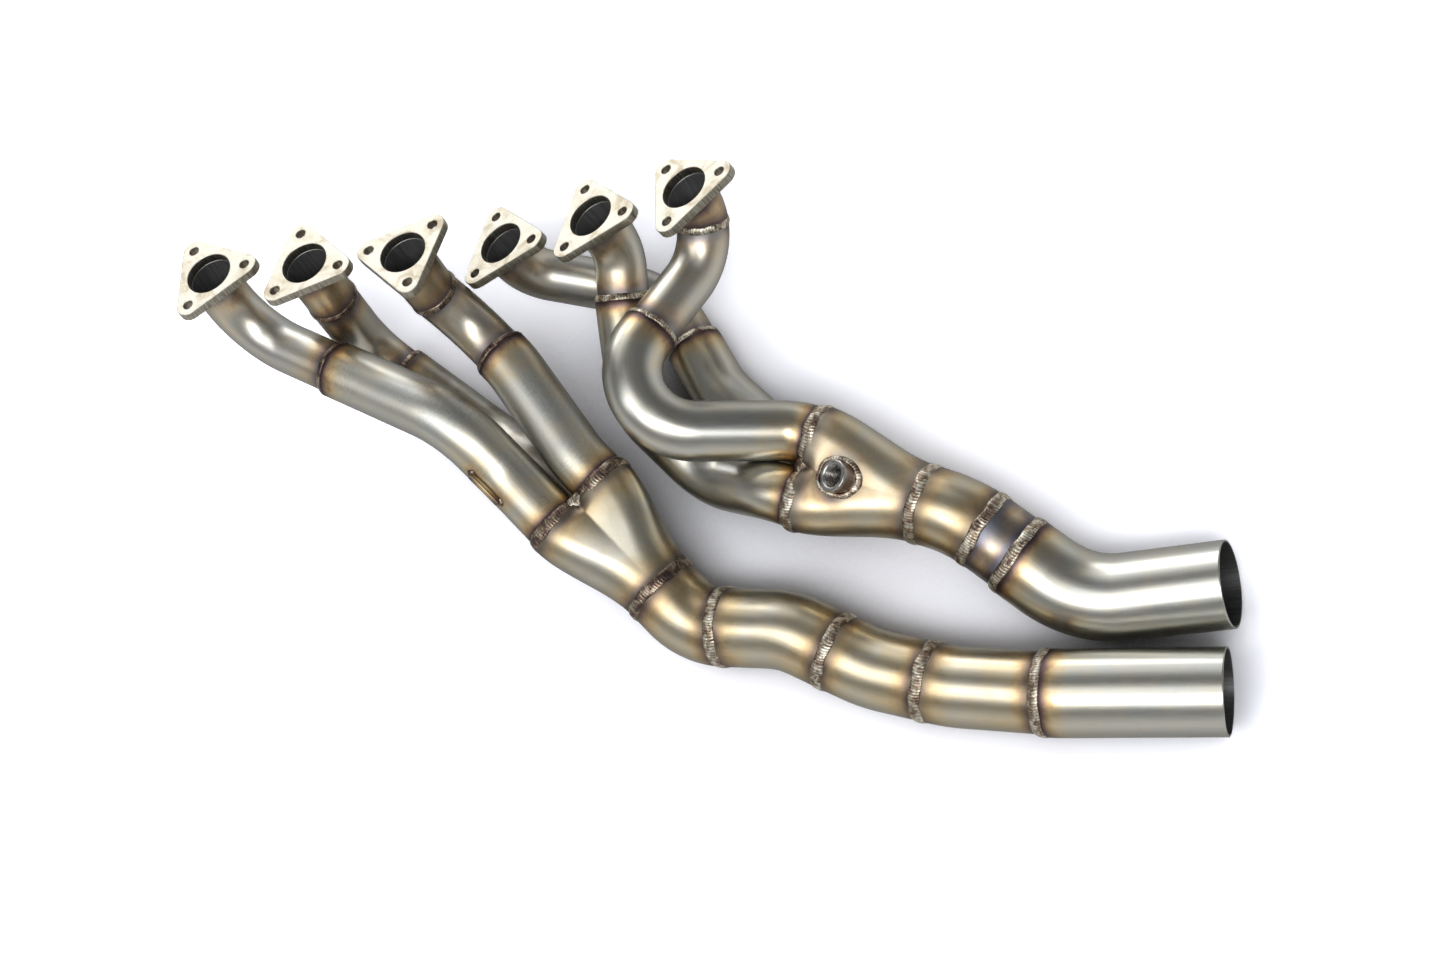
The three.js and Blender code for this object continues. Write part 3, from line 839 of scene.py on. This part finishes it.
def bung_seam(origin, stand, inlet, basis, length):
    """Toe points of the weld between the boss and the lobed skin of the collector."""
    count = POINTS_PER_RIPPLE * BUNG_BEAD_RIPPLES
    theta = np.linspace(0, 2 * math.pi, count, endpoint=False)
    out = np.cos(theta)[:, None] * stand[:, 0] + np.sin(theta)[:, None] * stand[:, 1]

    def on_skin(radius):
        found = np.zeros((count, 3))
        for i in range(count):
            for h in np.arange(60, 20, -0.1):
                p = origin + stand[:, 2] * h + out[i] * radius
                x, y, z = (p - inlet) @ basis
                skin = collector_radius(math.atan2(y, x), z / length, 0)
                if z < 0 or math.hypot(x, y) < skin:
                    found[i] = p
                    break
        return found

    foot = on_skin(BUNG_RADIUS)
    base0 = foot + stand[:, 2] * BUNG_BEAD[0]
    base1 = on_skin(BUNG_RADIUS + BUNG_BEAD[1])
    run = base1 - base0
    along = np.roll(foot, -1, 0) - np.roll(foot, 1, 0)
    up = np.cross(along, run)
    up /= np.linalg.norm(up, axis=1)[:, None]
    up *= np.sign(np.einsum("ij,ij->i", up, out + stand[:, 2]))[:, None]
    return base0, base1, up, foot.mean(0)


def drill(obj, header, origin, stand):
    """Cut the round hole for the boss through the skin of the collector."""
    count = 96
    angle = np.linspace(0, 2 * math.pi, count, endpoint=False)
    radius = BUNG_RADIUS + WELD_GAP
    ring = np.stack([radius * np.cos(angle), radius * np.sin(angle), np.full(count, DRILL_LOW)], 1)
    points = np.concatenate([ring, ring + (0, 0, BUNG_HIGH)])
    cutter_mesh = bpy.data.meshes.new("drill")
    sides = [(i, (i + 1) % count, count + (i + 1) % count, count + i) for i in range(count)]
    caps = [tuple(range(count - 1, -1, -1)), tuple(range(count, 2 * count))]
    cutter_mesh.from_pydata(place(header, origin + points @ stand.T).tolist(), [], sides + caps)
    cutter = bpy.data.objects.new("drill", cutter_mesh)
    bpy.context.scene.collection.objects.link(cutter)
    cut = obj.modifiers.new("drill", "BOOLEAN")
    cut.operation = "DIFFERENCE"
    cut.solver = "EXACT"
    cut.object = cutter
    bpy.context.view_layer.update()
    drilled = finished_mesh(obj)
    obj.modifiers.clear()
    obj.data = drilled
    bpy.data.objects.remove(cutter)


def bung_profile():
    """Boss with broken edges and its thread drawn as rings in its bore."""
    edge, pitch, turns, depth = 0.7, 1.5, 11, 0.75
    outside = [(BUNG_LOW, BUNG_RADIUS - edge), (BUNG_LOW + edge, BUNG_RADIUS)]
    outside += [(h, BUNG_RADIUS) for h in np.linspace(BUNG_LOW + 4, BUNG_HIGH - 4, 4)]
    outside += [(BUNG_HIGH - edge, BUNG_RADIUS),
                (BUNG_HIGH - edge * 0.3, BUNG_RADIUS - edge * 0.3),
                (BUNG_HIGH, BUNG_RADIUS - edge)]
    top = [(BUNG_HIGH, BUNG_RADIUS - 2.2), (BUNG_HIGH, BUNG_BORE_RADIUS + 1.5),
           (BUNG_HIGH - 1.2, BUNG_BORE_RADIUS + 0.7)]
    thread = []
    for i in range(turns):
        h = BUNG_HIGH - 1.6 - pitch * i
        thread += [(h, BUNG_BORE_RADIUS + depth), (h - 0.5, BUNG_BORE_RADIUS),
                   (h - 0.85, BUNG_BORE_RADIUS), (h - 1.3, BUNG_BORE_RADIUS + depth)]
    return outside + top + thread + [(BUNG_LOW, BUNG_BORE_RADIUS + 0.4)]


def build_runner(header, h, number, inlet, basis):
    runner = RUNNERS[number]
    axis = basis[:, 2]
    roll = math.radians(h["roll"][number])
    lobe = inlet + basis @ arr((LOBE_OFFSET * math.cos(roll), LOBE_OFFSET * math.sin(roll), 0))
    port = arr((PORT_PITCH * (h["ports"].index(number) - 1), 0, 0))
    entry = lobe - axis * runner["straight"]
    path = Path([port] + [arr(c) for c in runner["corners"]] + [entry, lobe], runner["bends"])
    prefix = f"{header}_runner_{number}"
    bead = BEAD_DARK if header == "front" else BEAD_LIGHT

    def ring_at(s, radius, half):
        where, tangent = path.at(s)
        return where, tangent, radius, half

    flange_ring = ring_at(FLANGE_THICKNESS, UPPER_RADIUS, FLANGE_BEAD[3])
    step_ring = ring_at(runner["cut"], LOWER_RADIUS, STEP_BEAD[3])
    lobe_ring = (lobe, axis, LOWER_RADIUS, MOUTH_BEAD[3])
    ring_bead(f"{header}_flange_{number}_weld", header, flange_ring, FLANGE_BEAD,
              UPPER_RADIUS + FLANGE_BEAD_REACH, UPPER_RADIUS - SUNK, bead)
    ring_bead(prefix + "_step_weld", header, step_ring, STEP_BEAD,
              UPPER_RADIUS - SUNK, LOWER_RADIUS - SUNK, bead)
    ring_bead(prefix + "_collector_weld", header, lobe_ring, MOUTH_BEAD,
              LOWER_RADIUS - SUNK, LOBE_RADIUS - 3 * SUNK, bead)
    start = FLANGE_THICKNESS + WELD_GAP
    upper_welds = [step_ring]
    if "stub" in runner:
        stub_ring = ring_at(runner["stub"], UPPER_RADIUS, STUB_BEAD[3])
        stub = tube_piece("fine_" + prefix + "_stub", header, path, start, runner["stub"],
                          UPPER_RADIUS, [flange_ring, stub_ring], TUBE_BROWNED)
        ring_bead(prefix + "_stub_weld", header, stub_ring, STUB_BEAD,
                  UPPER_RADIUS - SUNK, UPPER_RADIUS - SUNK, bead)
        stand_for(prefix + "_stub")
        start = runner["stub"] + WELD_GAP
        upper_welds.append(stub_ring)
    else:
        upper_welds.append(flange_ring)
    upper = tube_piece("fine_" + prefix + "_upper", header, path, start,
                       runner["cut"] + SLEEVE_OVERLAP, UPPER_RADIUS, upper_welds, TUBE_MATT)
    stand_for(prefix + "_upper_tube")
    lower_welds = [step_ring, lobe_ring]
    if number == 1:
        lower_welds += tab_piece(header, path)
    # runner 2's lower tube gets the painted-shade skin
    skin = {1: TUBE_SCUFFED, 2: TUBE_PAINTED_SHADE, 3: TUBE_SCUFFED}.get(number, TUBE)
    lower = tube_piece("fine_" + prefix + "_lower", header, path, runner["cut"],
                       path.length - WELD_GAP, LOWER_RADIUS, lower_welds, skin, eased=True)
    stand_for(prefix + "_lower_tube")
    return lobe_ring


def build_pipe(header, h, axis):
    pipe = PIPES[header]
    start = arr(h["outlet"])
    corners = [start, start + axis * pipe["straight"]] + [arr(c) for c in pipe["corners"]]
    path = Path(corners, pipe["bends"])
    bead = BEAD_DARK if header == "front" else BEAD_LIGHT
    cuts = [0] + list(pipe["cuts"])
    rings = [(*path.at(s), PIPE_RADIUS, PIPE_BEAD[3]) for s in cuts]
    last = len(cuts) - 1
    for i, s in enumerate(cuts):
        size, end = (PIPE_BEAD, PIPE_RADIUS) if i < last else (OUTLET_BEAD, OUTLET_RADIUS)
        ring_bead(f"{header}_pipe_weld_{i}", header, rings[i], size,
                  PIPE_RADIUS - SUNK, end - SUNK, bead if i == 0 else BEAD_LIGHT)
        if i == last:
            continue
        to = cuts[i + 1] + (SLEEVE_OVERLAP if i + 1 == last else 0)
        skin = TUBE_BLUED if (header, i) == ("rear", 1) else TUBE_GOLD
        piece = tube_piece(f"fine_{header}_pipe_{i + 1}", header, path, s + WELD_GAP, to,
                           PIPE_RADIUS, [rings[i], rings[i + 1]], skin)
        stand_for(f"{header}_pipe_segment_{i + 1}")
    # the outlet's bore uses the darker, painted-shade copy of the bore colour
    outlet = tube_piece(f"fine_{header}_outlet", header, path, cuts[-1], path.length,
                        OUTLET_RADIUS, [rings[-1]], TUBE, eased=True, inside=INSIDE_PAINTED_SHADE)
    stand_for(header + "_outlet_pipe")
    return rings[0]


def build_header(header):
    h = HEADERS[header]
    inlet, basis, length = collector_frame(h)
    for number, stud in zip(h["ports"], h["studs"]):
        port_x = PORT_PITCH * (h["ports"].index(number) - 1)
        flange = flange_piece(f"fine_{header}_flange_{number}", header, stud, port_x)
        stand_for(f"{header}_flange_{number}")
    welds = [build_runner(header, h, number, inlet, basis) for number in h["ports"]]
    welds = [(c, a, LOBE_RADIUS, half) for c, a, _, half in welds]
    welds.append(build_pipe(header, h, basis[:, 2]))
    if header == "rear":
        local = turned("y", -BUNG_LEAN) @ turned("z", 90)
        stand = basis @ local[:, [2, 0, 1]]
        origin = inlet + basis[:, 2] * BUNG_STATION
        base0, base1, up, foot = bung_seam(origin, stand, inlet, basis, length)
        foot_ring = (foot, stand[:, 2], BUNG_RADIUS + 1.5, 2.6)
        welds.append(foot_ring)
        bead_strip("bung_weld", header, base0, base1, up, BUNG_BEAD[2], BEAD_LIGHT,
                   BUNG_BEAD_RIPPLES)
        boss = lathe_piece("fine_bung", header, origin, stand, bung_profile(), [foot_ring])
        stand_for("rear_oxygen_sensor_bung")
    crotch = BEAD_LIGHT if header == "front" else BEAD_DARK
    for i, degrees in enumerate((60, 180, 300)):
        out = basis @ arr((math.cos(math.radians(degrees)), math.sin(math.radians(degrees)), 0))
        centre = inlet + out * CROTCH_RADIUS - basis[:, 2]
        mound(f"{header}_crotch_weld_{i}", header, centre, out, basis[:, 2], CROTCH_SIZE, crotch)
    skin = FORMED if header == "front" else FORMED_GOLD
    collector = collector_piece(f"fine_{header}_collector", header, inlet, basis, length, welds, skin)
    if header == "rear":
        drill(collector, header, origin, stand)
    stand_for(header + "_collector")


build_header("front")
build_header("rear")


# ---------- stage ----------
def floor_material():
    """Pale bench with painted contact shadows: the colour the camera sees is darkened by ambient
    occlusion near the metal, cooled in that shade and pushed over-bright elsewhere. It is a touch dimmer
    in the metal's reflections.
    """
    n = Nodes.material("floor_pale")
    path = n.add("LightPath")
    # painted shadow: ambient occlusion within 0.16 m, raised to 0.85 and times 1.95, becomes the floor
    # colour the camera sees, with a cool tint
    open_sky = n.add("AmbientOcclusion", {"Distance": 0.16}).outputs["AO"]
    painted_shadow = n.math("MULTIPLY", n.math("POWER", open_sky, 0.85), 1.95)
    seen = n.scaled(n.grey(painted_shadow), (0.92, 0.935, 1.0))
    mirrored = path.outputs["Is Glossy Ray"]
    plain = n.mix(mirrored, rgba(0.945, 0.955, 0.985), rgba(0.70, 0.69, 0.67))
    diffuse = n.add("BsdfDiffuse", {"Color": n.mix(path.outputs["Is Camera Ray"], plain, seen)})
    n.join(diffuse.outputs[0], n.tree.nodes["Material Output"].inputs["Surface"])
    return n.owner


def build_floor():
    mesh = bpy.data.meshes.new("floor")
    size = 9.0
    corners = [(-size, -size, 0), (size, -size, 0), (size, size, 0), (-size, size, 0)]
    mesh.from_pydata(corners, [], [(0, 1, 2, 3)])
    mesh.materials.append(floor_material())
    floor = bpy.data.objects.new("floor", mesh)
    bpy.context.scene.collection.objects.link(floor)


# Soft boxes: direction they shine from, half sizes as tangents along and up, brightness.
SOFT_BOXES = [
    ((0.290, -0.420, 0.857), 0.13, 0.10, 5.0),
    ((0.040, -0.500, 0.860), 0.52, 0.14, 6.0),
    ((-0.42, 0.86, 0.29), 0.50, 0.09, 4.6),
    ((-0.33, 0.78, 0.54), 0.08, 0.06, 5.0),
    ((-0.35, 0.70, 0.62), 0.45, 0.22, 0.9),
    ((-0.45, -0.20, 0.87), 0.10, 0.40, 3.2),
]
SKY_LOW, SKY_HIGH = 0.58, 0.12  # brightness at the horizon and overhead
WORLD_STRENGTH = 1.08


def build_world():
    world = bpy.data.worlds.new("studio")
    bpy.context.scene.world = world
    n = Nodes(world)
    direction = n.add("TexCoord").outputs["Generated"]

    def dot(v):
        node = n.add("VectorMath", {0: direction, 1: tuple(v)}, operation="DOT_PRODUCT")
        return node.outputs["Value"]

    total = n.remap(dot((0, 0, 1)), 0.0, 0.45, SKY_LOW, SKY_HIGH)
    for toward, wide, tall, power in SOFT_BOXES:
        d = unit(arr(toward))
        u = unit(np.cross((0, 0, 1), d))
        v = np.cross(d, u)
        ahead = n.math("MAXIMUM", dot(d), 0.001)
        across = n.math("ABSOLUTE", n.math("DIVIDE", dot(u), ahead))
        upward = n.math("ABSOLUTE", n.math("DIVIDE", dot(v), ahead))
        box = n.math("MULTIPLY", n.remap(across, wide * 0.8, wide * 1.2, power, 0.0),
                     n.remap(upward, tall * 0.5, tall * 1.7, 1.0, 0.0))
        total = n.math("ADD", total, n.math("MULTIPLY", box, n.math("GREATER_THAN", ahead, 0.01)))
    seen = n.add("LightPath").outputs["Is Camera Ray"]
    background = n.tree.nodes["Background"]
    n.join(n.mix(seen, n.grey(total), rgba(0.95, 0.955, 0.965)), background.inputs["Color"])
    n.join(WORLD_STRENGTH, background.inputs["Strength"])


def build_camera():
    camera = bpy.data.cameras.new("camera")
    camera.lens = 70.69
    camera.sensor_width = 36
    camera.clip_end = 50
    eye = bpy.data.objects.new("camera", camera)
    eye.location = (0.7105, -0.7142, 2.1150)
    eye.rotation_euler = Euler((math.radians(18.019), math.radians(18.602), 0))
    bpy.context.scene.collection.objects.link(eye)
    bpy.context.scene.camera = eye


build_floor()
build_world()
build_camera()
bpy.context.scene.view_settings.view_transform = "Standard"
